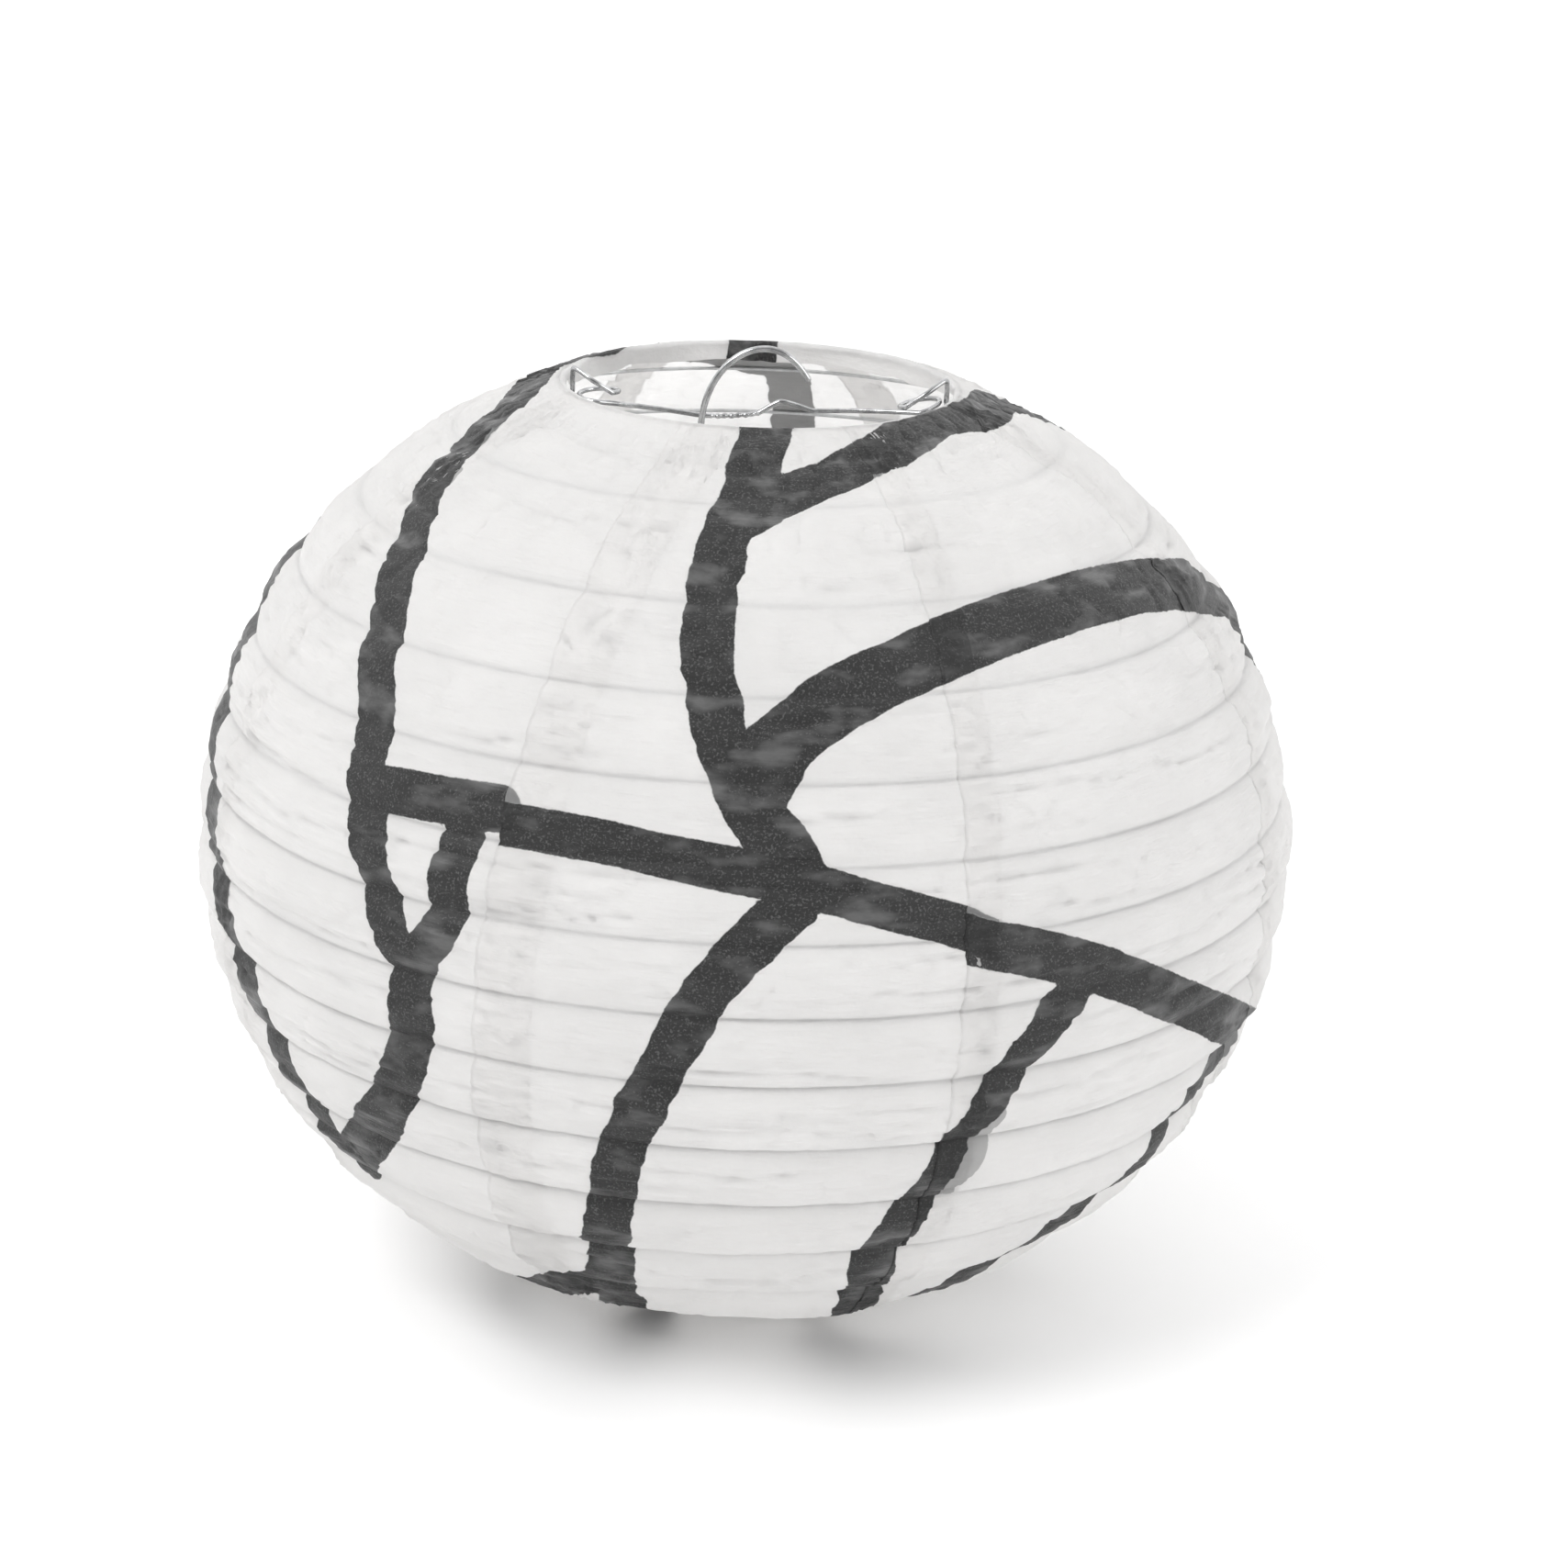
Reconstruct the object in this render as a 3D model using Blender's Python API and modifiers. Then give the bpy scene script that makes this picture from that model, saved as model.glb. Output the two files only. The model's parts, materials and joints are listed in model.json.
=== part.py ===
"""Accordion paper lantern: eight paper gores over thirteen wire ribs and two end rings.

A wire expander with a hanging hook holds it open, and its crossbars run along X. The lantern stands on
its lower hem. Units are metres, +Z is up, and the origin is the centre of the underside.
"""
import math

import bpy
from mathutils import Vector

# Overall sizes
LANTERN_WIDTH = 0.200          # across the paper at its widest
OVAL_HEIGHT = 0.1750           # full height of the oval that the rings lie on, before the mouths cut it off
MOUTH_RADIUS = 0.0350          # centre line of the end ring at each mouth

# Paper
GORE_COUNT = 8
GORE_STEPS = 4                 # flat facets across one gore
PAPER_THICKNESS = 0.0004
LOBE_DEPTH = 0.0016            # how far the paper bulges between two ribs
HEM_WALL = 0.0003

# Wires
RIB_COUNT = 13
RIB_WIRE = 0.0008
END_GAP = 0.0087               # height from an end ring to the nearest rib
RING_WIRE = 0.0010
RING_SIDES = 6
HOOK_WIRE = 0.0012
ARM_WIRE = 0.0009

# Expander
HOOK_RISE = 0.0070             # wire centre at the crown of the bow, above the upper ring
CROWN_OFFSET = 0.0010          # the crown stands almost over the lantern's axis
BOW_HALF_WIDTH = 0.0112        # from the stem to under the crown
STEM_SIDE_HEIGHT = 0.0150      # the bow is two quarter ovals: this is the height of the stem's
FREE_SIDE_HEIGHT = 0.0200      # and this is the height of the free end's, which is a part of its quarter
BOW_END_ANGLE = 48.0           # where the free end stops, in degrees round its oval from level
BAR_DROP = 0.0057              # the crossbar at the stem, below the upper ring and above the lower one
CRIMP_START = -0.0088          # the middle of the bar is crimped into small waves beside the stem
CRIMP_LENGTH = 0.0086
CRIMP_CLIMB = 0.0007
CRIMP_WAVES = 3.5
CRIMP_DEPTH = 0.0002
BUMP_LENGTH = 0.0098           # beyond the crimp the bar steps over a low bump
BUMP_DROP = 0.0028             # at the bump's top
BUMP_END_DROP = 0.0042
ARM_DROP = 0.0031              # the arm where its spring loop starts
LOOP_RADIUS = 0.0035
LOOP_TURN = 315.0              # degrees, after which the wire leaves across the loop
LOOP_SLOPE = {-1: 0.0, 1: 0.30}    # how steeply the left and the right loop rise outwards
CATCH_RISE = 0.0022            # each upper catch arches this far above the ring before it dives under it
CATCH_REACH = 0.0025           # the catch ends this far outside the ring's centre line

FIT_GAP = 0.0003               # between pieces that touch

# Worked out from the sizes above
GORE_ANGLE = math.tau / GORE_COUNT
RING_STEPS = GORE_COUNT * GORE_STEPS
RIB_RADIUS_MAX = LANTERN_WIDTH / 2 - PAPER_THICKNESS - LOBE_DEPTH - FIT_GAP - RIB_WIRE / 2
HEM_HALF = RING_WIRE / 2 + FIT_GAP + HEM_WALL
LOWER_RING_Z = HEM_HALF
HALF_SPAN = OVAL_HEIGHT / 2 * math.sqrt(1 - (MOUTH_RADIUS / RIB_RADIUS_MAX) ** 2)
MIDDLE_Z = LOWER_RING_Z + HALF_SPAN
UPPER_RING_Z = MIDDLE_Z + HALF_SPAN
RIB_PITCH = 2 * (HALF_SPAN - END_GAP) / (RIB_COUNT - 1)
HEM_INNER = MOUTH_RADIUS - HEM_HALF
HEM_OUTER = MOUTH_RADIUS + HEM_HALF
STRAND_STEP = ARM_WIRE + FIT_GAP
STEM_STEP = (HOOK_WIRE + ARM_WIRE) / 2 + FIT_GAP
STEM_OFFSET = CROWN_OFFSET - BOW_HALF_WIDTH
CATCH_X = HEM_INNER - FIT_GAP - ARM_WIRE / 2
HEM_CLEAR = HEM_HALF + FIT_GAP + ARM_WIRE / 2
LOOP_X = CATCH_X - STRAND_STEP - LOOP_RADIUS

PAPER_WHITE = (0.86, 0.86, 0.85, 1.0)
WIRE_GREY = (0.62, 0.63, 0.64, 1.0)
RIB_GREY = (0.45, 0.45, 0.46, 1.0)


def clear_scene():
    """Remove every object of the open scene."""
    for old in list(bpy.data.objects):
        bpy.data.objects.remove(old, do_unlink=True)


def make_material(name, colour, roughness, metallic):
    """Return a Principled material of one colour."""
    material = bpy.data.materials.new(name)
    material.use_nodes = True
    shader = material.node_tree.nodes["Principled BSDF"]
    shader.inputs["Base Color"].default_value = colour
    shader.inputs["Roughness"].default_value = roughness
    shader.inputs["Metallic"].default_value = metallic
    material.diffuse_color = colour
    return material


def add_object(name, data, collection, material, turn=0.0, parent=None):
    """Link an object whose origin is on the lantern's axis, turned about it."""
    thing = bpy.data.objects.new(name, data)
    collection.objects.link(thing)
    thing.rotation_euler = (0.0, 0.0, turn)
    thing.parent = parent
    data.materials.append(material)
    return thing


def oval_radius(height):
    """Radius of the rings' oval at a height measured from its middle."""
    return RIB_RADIUS_MAX * math.sqrt(1 - (height / (OVAL_HEIGHT / 2)) ** 2)


def rib_heights():
    """Heights of the ribs above the underside, lowest first."""
    lowest = MIDDLE_Z - HALF_SPAN + END_GAP
    return [lowest + RIB_PITCH * number for number in range(RIB_COUNT)]


def make_ring(name, radius, wire, height, collection, material):
    """A wire hoop: a torus whose vertices line up with the gores' facets."""
    bpy.ops.mesh.primitive_torus_add(
        major_radius=radius, minor_radius=wire / 2,
        major_segments=RING_STEPS, minor_segments=RING_SIDES)
    hoop = bpy.context.active_object
    for owner in list(hoop.users_collection):
        owner.objects.unlink(hoop)
    collection.objects.link(hoop)
    hoop.name = name
    hoop.data.name = name
    hoop.location = (0.0, 0.0, height)
    hoop.data.shade_smooth()
    hoop.data.materials.append(material)
    return hoop


def add_screw(thing, angle, steps):
    """Turn an outline about the lantern's axis."""
    screw = thing.modifiers.new("Turn", "SCREW")
    screw.axis = "Z"
    screw.angle = angle
    screw.steps = steps
    screw.render_steps = steps
    screw.merge_threshold = 0.00001
    return screw


def add_gore(name, profile, start, angle, collection, material):
    """A gore: its outline turned through an eighth of the way round, with Solidify for the paper."""
    mesh = bpy.data.meshes.new(name)
    points = [(radius, 0.0, height) for radius, height in profile]
    mesh.from_pydata(points, [(i, i + 1) for i in range(len(points) - 1)], [])
    gore = add_object(name, mesh, collection, material, turn=start)
    screw = add_screw(gore, angle, GORE_STEPS)
    screw.use_smooth_shade = True
    wall = gore.modifiers.new("Wall", "SOLIDIFY")
    wall.thickness = PAPER_THICKNESS
    wall.offset = 1.0
    wall.use_even_offset = True
    return gore


def gore_profile():
    """Inner line of the paper from the upper hem to the lower one, with a valley at each rib."""
    seat = RIB_WIRE / 2 + FIT_GAP
    edge = HEM_OUTER + FIT_GAP
    tuck = PAPER_THICKNESS + FIT_GAP
    valleys = [(edge, UPPER_RING_Z - tuck)]
    for height in reversed(rib_heights()):
        level = height - MIDDLE_Z
        slope = math.hypot(level / (OVAL_HEIGHT / 2) ** 2, oval_radius(level) / RIB_RADIUS_MAX ** 2)
        out = oval_radius(level) / RIB_RADIUS_MAX ** 2 / slope
        rise = level / (OVAL_HEIGHT / 2) ** 2 / slope
        valleys.append((oval_radius(level) + seat * out, height + seat * rise))
    valleys.append((edge, LOWER_RING_Z + tuck))
    profile = [valleys[0]]
    for upper, lower in zip(valleys, valleys[1:]):
        along = Vector((lower[0] - upper[0], lower[1] - upper[1]))
        bulge = LOBE_DEPTH * min(1.0, along.length / RIB_PITCH)
        outward = Vector((-along.y, along.x)).normalized() * bulge
        middle = (Vector(upper) + Vector(lower)) / 2 + outward
        profile.append((middle.x, middle.y))
        profile.append(lower)
    return profile


def hem_profile(height, opening):
    """Outline of a hem's wall: a square channel round the end ring, open upwards (1) or downwards (-1)."""
    cheek = HEM_HALF - HEM_WALL
    outline = [(HEM_HALF, HEM_HALF), (HEM_HALF, -HEM_HALF), (-HEM_HALF, -HEM_HALF), (-HEM_HALF, HEM_HALF),
               (-cheek, HEM_HALF), (-cheek, -cheek), (cheek, -cheek), (cheek, HEM_HALF)]
    placed = [(MOUTH_RADIUS + out, height + opening * rise) for out, rise in outline]
    return placed if opening > 0 else placed[::-1]


def add_hem(name, height, opening, collection, material):
    """A hem: the channel's closed outline turned all the way round."""
    outline = hem_profile(height, opening)
    mesh = bpy.data.meshes.new(name)
    edges = [(i, (i + 1) % len(outline)) for i in range(len(outline))]
    mesh.from_pydata([(radius, 0.0, z) for radius, z in outline], edges, [])
    hem = add_object(name, mesh, collection, material)
    screw = add_screw(hem, math.tau, RING_STEPS)
    screw.use_merge_vertices = True
    screw.use_smooth_shade = False
    return hem


def smooth_path(points, pieces):
    """Points along a Catmull-Rom curve through the given ones, with so many pieces between two."""
    knots = [Vector(p) for p in points]
    padded = [2 * knots[0] - knots[1]] + knots + [2 * knots[-1] - knots[-2]]
    path = [knots[0]]
    for a, b, c, d in zip(padded, padded[1:], padded[2:], padded[3:]):
        for number in range(1, pieces + 1):
            t = number / pieces
            path.append(0.5 * (2 * b + (c - a) * t + (2 * a - 5 * b + 4 * c - d) * t * t
                               + (3 * b - a - 3 * c + d) * t * t * t))
    return path


def add_wire(name, path, wire, collection, material, parent):
    """A round wire along a path, as a curve with a bevel and filled caps."""
    curve = bpy.data.curves.new(name, "CURVE")
    curve.dimensions = "3D"
    curve.bevel_depth = wire / 2
    curve.bevel_resolution = 2
    curve.use_fill_caps = True
    spline = curve.splines.new("POLY")
    spline.points.add(len(path) - 1)
    for spot, place in zip(spline.points, path):
        spot.co = (place.x, place.y, place.z, 1.0)
    return add_object(name, curve, collection, material, parent=parent)


def stem_path():
    """The hook wire: a small hook under the lower crossbar, the straight stem and the bow."""
    foot_z = LOWER_RING_Z + BAR_DROP
    crown_z = UPPER_RING_Z + HOOK_RISE
    path = [Vector((STEM_OFFSET, STEM_STEP, foot_z + STEM_STEP))]
    for number in range(7):
        angle = math.pi * number / 6
        path.append(Vector((STEM_OFFSET, STEM_STEP * math.cos(angle), foot_z - STEM_STEP * math.sin(angle))))
    path.append(Vector((STEM_OFFSET, -STEM_STEP, (foot_z + crown_z - STEM_SIDE_HEIGHT) / 2)))
    steps = 16
    for number in range(steps + 1):
        angle = math.pi + (math.radians(BOW_END_ANGLE) - math.pi) * number / steps
        height = STEM_SIDE_HEIGHT if math.cos(angle) < 0.0 else FREE_SIDE_HEIGHT
        path.append(Vector((CROWN_OFFSET + BOW_HALF_WIDTH * math.cos(angle), -STEM_STEP,
                            crown_z - height * (1.0 - math.sin(angle)))))
    return path


def bar_middle(ring_z, inward):
    """The middle of a crossbar, from the stem through the crimp and over the bump, from left to right."""
    level = ring_z + inward * BAR_DROP
    middle = []
    steps = 4 * math.ceil(CRIMP_WAVES)
    for number in range(steps + 1):
        share = number / steps
        wave = CRIMP_DEPTH * math.sin(math.tau * CRIMP_WAVES * share)
        middle.append(Vector((CRIMP_START + CRIMP_LENGTH * share, wave,
                              level - inward * CRIMP_CLIMB * share ** 2)))
    bump_x = CRIMP_START + CRIMP_LENGTH
    top = ring_z + inward * BUMP_DROP
    after = ring_z + inward * BUMP_END_DROP
    bends = [Vector((bump_x + 0.32 * BUMP_LENGTH, 0.0, top - inward * 0.2 * (BUMP_DROP - BUMP_END_DROP))),
             Vector((bump_x + 0.50 * BUMP_LENGTH, 0.0, top)),
             Vector((bump_x + BUMP_LENGTH, 0.0, after))]
    return middle + smooth_path([middle[-1]] + bends, 3)[1:]


def catch_bends(ring_z, leave_z):
    """Bends of an upper catch: up from the loop, over its crest, down inside the hem and under it."""
    crest = ring_z + CATCH_RISE
    under = ring_z - HEM_CLEAR - FIT_GAP
    return [(LOOP_X + 0.25 * LOOP_RADIUS, -0.80 * LOOP_RADIUS, leave_z + 0.55 * (crest - leave_z)),
            (CATCH_X - 0.5 * ARM_WIRE, -0.2 * LOOP_RADIUS, crest),
            (CATCH_X, 0.0, ring_z + 0.4 * CATCH_RISE),
            (CATCH_X, 0.0, ring_z - 0.5 * HEM_CLEAR),
            (CATCH_X + 0.2 * ARM_WIRE, 0.0, under - 0.2 * ARM_WIRE),
            (MOUTH_RADIUS, 0.0, under - 0.4 * ARM_WIRE),
            (MOUTH_RADIUS + CATCH_REACH, 0.0, under - 0.5 * ARM_WIRE)]


def foot_bends(ring_z, leave_z):
    """Bends of a lower arm's end: straight out over the lower hem, which it presses down."""
    over = ring_z + HEM_CLEAR
    side_y = -0.2 * LOOP_RADIUS
    return [(LOOP_X + LOOP_RADIUS, -0.8 * LOOP_RADIUS, (leave_z + over) / 2),
            (HEM_INNER, -0.3 * LOOP_RADIUS, over + 0.2 * ARM_WIRE),
            (HEM_OUTER, side_y, over + 0.2 * ARM_WIRE),
            (MOUTH_RADIUS + CATCH_REACH, side_y, over + 0.4 * ARM_WIRE)]


def arm_path(side, start, ring_z, inward, bends_of):
    """An arm from its start near the middle, with one spring loop, to its end at the ring.

    side is -1 or 1 along X, inward is -1 at the upper ring and 1 at the lower one.
    """
    loop_z = ring_z + inward * ARM_DROP
    reach = LOOP_X - abs(start.x)
    run = [start]
    for share in (0.35, 0.75):
        run.append(Vector((side * (abs(start.x) + reach * share), -LOOP_RADIUS * share ** 2,
                           start.z + (loop_z - start.z) * share)))
    path = smooth_path(run, 2)
    turns = 14
    for number in range(turns + 1):
        angle = math.radians(-90.0 + LOOP_TURN * number / turns)
        lift = (STRAND_STEP + FIT_GAP) * number / turns + LOOP_SLOPE[side] * LOOP_RADIUS * math.cos(angle)
        path.append(Vector((side * (LOOP_X + LOOP_RADIUS * math.cos(angle)),
                            LOOP_RADIUS * math.sin(angle), loop_z - inward * lift)))
    bends = [Vector((side * x, y, z)) for x, y, z in bends_of(ring_z, path[-1].z)]
    return path + smooth_path([path[-1]] + bends, 2)[1:]


def crossbar_path(ring_z, inward, bends_of):
    """One crossbar from its left end to its right one: arm, crimped middle, bump and arm."""
    middle = bar_middle(ring_z, inward)
    left_start = Vector((STEM_OFFSET, 0.0, ring_z + inward * BAR_DROP))
    left = arm_path(-1, left_start, ring_z, inward, bends_of)
    right = arm_path(1, middle[-1], ring_z, inward, bends_of)
    return left[::-1] + middle + right[1:]


def main():
    """Build the lantern."""
    clear_scene()
    lantern = bpy.data.collections.new("accordion_paper_lantern")
    bpy.context.scene.collection.children.link(lantern)
    paper = make_material("paper", PAPER_WHITE, 0.75, 0.0)
    steel = make_material("galvanised_wire", WIRE_GREY, 0.3, 1.0)
    rib_steel = make_material("rib_wire", RIB_GREY, 0.45, 1.0)

    make_ring("lower_ring", MOUTH_RADIUS, RING_WIRE, LOWER_RING_Z, lantern, steel)
    make_ring("upper_ring", MOUTH_RADIUS, RING_WIRE, UPPER_RING_Z, lantern, steel)
    for number, height in enumerate(rib_heights(), start=1):
        make_ring(f"rib_{number:02d}", oval_radius(height - MIDDLE_Z), RIB_WIRE, height, lantern, rib_steel)

    add_hem("lower_hem", LOWER_RING_Z, 1, lantern, paper)
    add_hem("upper_hem", UPPER_RING_Z, -1, lantern, paper)
    seam_gap = FIT_GAP / HEM_OUTER
    profile = gore_profile()
    for number in range(GORE_COUNT):
        start = -math.pi / 2 + (number - 0.5) * GORE_ANGLE + seam_gap / 2
        add_gore(f"gore_{number + 1}", profile, start, GORE_ANGLE - seam_gap, lantern, paper)

    expander = bpy.data.objects.new("expander_axis", None)
    lantern.objects.link(expander)
    add_wire("hook_stem", stem_path(), HOOK_WIRE, lantern, steel, expander)
    ends = (("upper", UPPER_RING_Z, -1, catch_bends), ("lower", LOWER_RING_Z, 1, foot_bends))
    for level, ring_z, inward, bends_of in ends:
        bar = crossbar_path(ring_z, inward, bends_of)
        add_wire(f"{level}_crossbar", bar, ARM_WIRE, lantern, steel, expander)


main()
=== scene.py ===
"""Accordion paper lantern: eight printed paper gores over wire ribs, held open by a wire expander.

Heights along the paper are measured from the widest line, upwards, along the valleys between the ribs.
Angles run round the lantern from its front (-Y) towards its right (+X).
"""
import json
import logging
import math
from dataclasses import dataclass, field
from enum import Enum

import bpy
import numpy as np
from mathutils import Matrix, Vector


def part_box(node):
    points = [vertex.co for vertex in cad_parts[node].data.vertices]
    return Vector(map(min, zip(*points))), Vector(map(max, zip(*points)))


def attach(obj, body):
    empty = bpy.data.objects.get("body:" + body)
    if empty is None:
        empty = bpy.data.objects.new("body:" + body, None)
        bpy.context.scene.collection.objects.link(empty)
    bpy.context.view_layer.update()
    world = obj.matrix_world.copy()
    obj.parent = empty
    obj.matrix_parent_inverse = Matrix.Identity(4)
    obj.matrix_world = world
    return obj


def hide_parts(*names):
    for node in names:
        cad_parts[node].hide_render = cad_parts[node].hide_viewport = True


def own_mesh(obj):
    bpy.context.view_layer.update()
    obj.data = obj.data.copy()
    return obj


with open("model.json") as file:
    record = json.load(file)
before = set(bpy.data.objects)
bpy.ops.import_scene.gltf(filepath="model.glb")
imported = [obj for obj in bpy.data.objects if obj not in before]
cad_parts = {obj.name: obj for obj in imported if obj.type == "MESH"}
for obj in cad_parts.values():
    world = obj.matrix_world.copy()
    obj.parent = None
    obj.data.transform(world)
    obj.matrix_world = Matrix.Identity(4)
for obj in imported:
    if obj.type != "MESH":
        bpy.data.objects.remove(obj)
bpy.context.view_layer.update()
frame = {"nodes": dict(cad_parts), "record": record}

MM = 0.001
GORE_COUNT = 8
GORE_ANGLE = math.tau / GORE_COUNT
PRINT_COUNT = 4                 # the print repeats after half a turn, so four gores differ
FAR = 9.0                       # distance to the print, in mm, that stands for none at all
UV_RADIUS = 0.1                 # turns an angle into metres across the paper
ASKEW = (0.31, 0.52, 0.79)      # a direction that no wire's end runs along
WHITE = (1.0, 1.0, 1.0, 1.0)

log = logging.getLogger("lantern")


class End(Enum):
    """One of the lantern's two mouths, as the sign of its direction from the middle."""

    UPPER = 1
    LOWER = -1

    @property
    def label(self) -> str:
        """The end's name in lower case."""
        return self.name.lower()


class PaperSide(Enum):
    """The two faces of a gore."""

    OUTSIDE = "outside"
    INSIDE = "inside"


# --- helpers on arrays

def smoothstep(value: np.ndarray, low: float, high: float) -> np.ndarray:
    """Ease from 0 at low to 1 at high: three times the share squared, less twice its cube.

    Args:
        value: Where to take the step.
        low: The value that gives 0.
        high: The value that gives 1.

    Returns:
        The eased share, of value's shape.
    """
    share = np.clip((value - low) / (high - low), 0.0, 1.0)
    return share * share * (3.0 - 2.0 * share)


def cloth_noise(angle: np.ndarray, run: np.ndarray, cells_round: int, cells_along: int,
                seed: int) -> np.ndarray:
    """Smooth random height on a lattice that closes round the lantern.

    Each lattice point holds a random value from -1 to 1, and a point between takes the eased mix of the
    four values round it.

    Args:
        angle: Angle round the lantern, in radians.
        run: Place along the lantern from 0 at the top to 1 at the bottom.
        cells_round: Lattice cells in a full turn.
        cells_along: Lattice cells from top to bottom.
        seed: Seed of the lattice's values.

    Returns:
        The height, from -1 to 1.
    """
    lattice = np.random.default_rng(seed).uniform(-1.0, 1.0, (cells_round, cells_along + 2))
    x = (angle / math.tau * cells_round) % cells_round
    y = np.clip(run, 0.0, 1.0) * cells_along
    i = np.floor(x).astype(int) % cells_round
    j = np.floor(y).astype(int)
    u = smoothstep(x - np.floor(x), 0.0, 1.0)
    v = smoothstep(y - j, 0.0, 1.0)
    after = (i + 1) % cells_round
    upper = lattice[i, j] * (1 - u) + lattice[after, j] * u
    lower = lattice[i, j + 1] * (1 - u) + lattice[after, j + 1] * u
    return upper * (1 - v) + lower * v


def row_noise(angle: np.ndarray, row: np.ndarray, cells: int, seed: int) -> np.ndarray:
    """Smooth random value round the lantern, independent for each row.

    Args:
        angle: Angle round the lantern, in radians.
        row: Whole number of the row.
        cells: Random values in a full turn.
        seed: Seed of the values.

    Returns:
        A value from -1 to 1.
    """
    lattice = np.random.default_rng(seed).uniform(-1.0, 1.0, (int(row.max()) + 1, cells))
    x = (angle / math.tau * cells) % cells
    i = np.floor(x).astype(int) % cells
    u = smoothstep(x - np.floor(x), 0.0, 1.0)
    return lattice[row, i] * (1 - u) + lattice[row, (i + 1) % cells] * u


def smooth_curve(points: np.ndarray, pieces: int) -> np.ndarray:
    """Catmull-Rom curve: between two points, a cubic whose ends run parallel to their neighbours' chord.

    Args:
        points: The points that the curve passes, one a row.
        pieces: Pieces between two of them.

    Returns:
        Points along the curve, one a row.
    """
    padded = np.vstack([2 * points[0] - points[1], points, 2 * points[-1] - points[-2]])
    a, b, c, d = padded[:-3], padded[1:-2], padded[2:-1], padded[3:]
    t = (np.arange(pieces) / pieces)[None, :, None]
    a, b, c, d = (side[:, None, :] for side in (a, b, c, d))
    curve = 0.5 * (2 * b + (c - a) * t + (2 * a - 5 * b + 4 * c - d) * t ** 2
                   + (3 * b - a - 3 * c + d) * t ** 3)
    return np.vstack([curve.reshape(-1, points.shape[1]), points[-1]])


# --- helpers on meshes

def add_object(name: str, data: bpy.types.ID) -> bpy.types.Object:
    """Put an object that shows this data into the scene."""
    piece = bpy.data.objects.new(name, data)
    bpy.context.scene.collection.objects.link(piece)
    return piece


def round_axis(radius: np.ndarray, angle: np.ndarray, z: np.ndarray) -> np.ndarray:
    """Points round the lantern's axis: x is the radius times the sine, y less the radius times the cosine."""
    return np.stack([radius * np.sin(angle), -radius * np.cos(angle), z], axis=-1)


def grid_faces(rows: int, columns: int, closed: bool) -> np.ndarray:
    """Four-sided faces of a grid of vertices that is stored row by row.

    Args:
        rows: Rows of vertices.
        columns: Vertices in a row.
        closed: Whether the last column joins the first.

    Returns:
        Four vertex numbers for each face.
    """
    across = columns if closed else columns - 1
    i, j = np.meshgrid(np.arange(rows - 1), np.arange(across), indexing="ij")
    after = (j + 1) % columns
    corners = [i * columns + j, (i + 1) * columns + j, (i + 1) * columns + after, i * columns + after]
    return np.stack(corners, axis=-1).reshape(-1, 4)


def add_surface(name: str, points: np.ndarray, faces: list, materials: list) -> bpy.types.Object:
    """Make a smooth mesh object at the origin.

    Args:
        name: The object's name.
        points: Vertices, one a row.
        faces: Vertex numbers of each face.
        materials: Materials for the slots.

    Returns:
        The linked object.
    """
    mesh = bpy.data.meshes.new(name)
    mesh.from_pydata(points.tolist(), [], faces)
    mesh.shade_smooth()
    mesh.update()
    for material in materials:
        mesh.materials.append(material)
    return add_object(name, mesh)


def add_values(piece: bpy.types.Object, **values: np.ndarray) -> None:
    """Store one number a vertex under each given name.

    Args:
        piece: The piece.
        values: The numbers of all vertices, by the attribute's name.
    """
    for name, numbers in values.items():
        layer = piece.data.attributes.new(name, "FLOAT", "POINT")
        layer.data.foreach_set("value", np.ascontiguousarray(numbers, dtype=np.float32).ravel())


def add_uv(piece: bpy.types.Object, across: np.ndarray, along: np.ndarray) -> None:
    """Store a UV map, in metres over the paper.

    Args:
        piece: The piece.
        across: Each vertex's way round the lantern.
        along: Each vertex's height along the paper.
    """
    corners = np.empty(len(piece.data.loops), dtype=np.int32)
    piece.data.loops.foreach_get("vertex_index", corners)
    pairs = np.stack([across.ravel(), along.ravel()], axis=-1)[corners]
    layer = piece.data.uv_layers.new(name="paper")
    layer.data.foreach_set("uv", pairs.astype(np.float32).ravel())


def add_wall(piece: bpy.types.Object, thickness: float, inner_slot: int) -> None:
    """Give a sheet its thickness inwards.

    Args:
        piece: The sheet.
        thickness: The wall's thickness.
        inner_slot: How many slots further the inner face's material stands.
    """
    wall = piece.modifiers.new("Paper", "SOLIDIFY")
    wall.thickness = thickness
    wall.offset = -1.0
    wall.material_offset = inner_slot
    wall.use_even_offset = False


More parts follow.
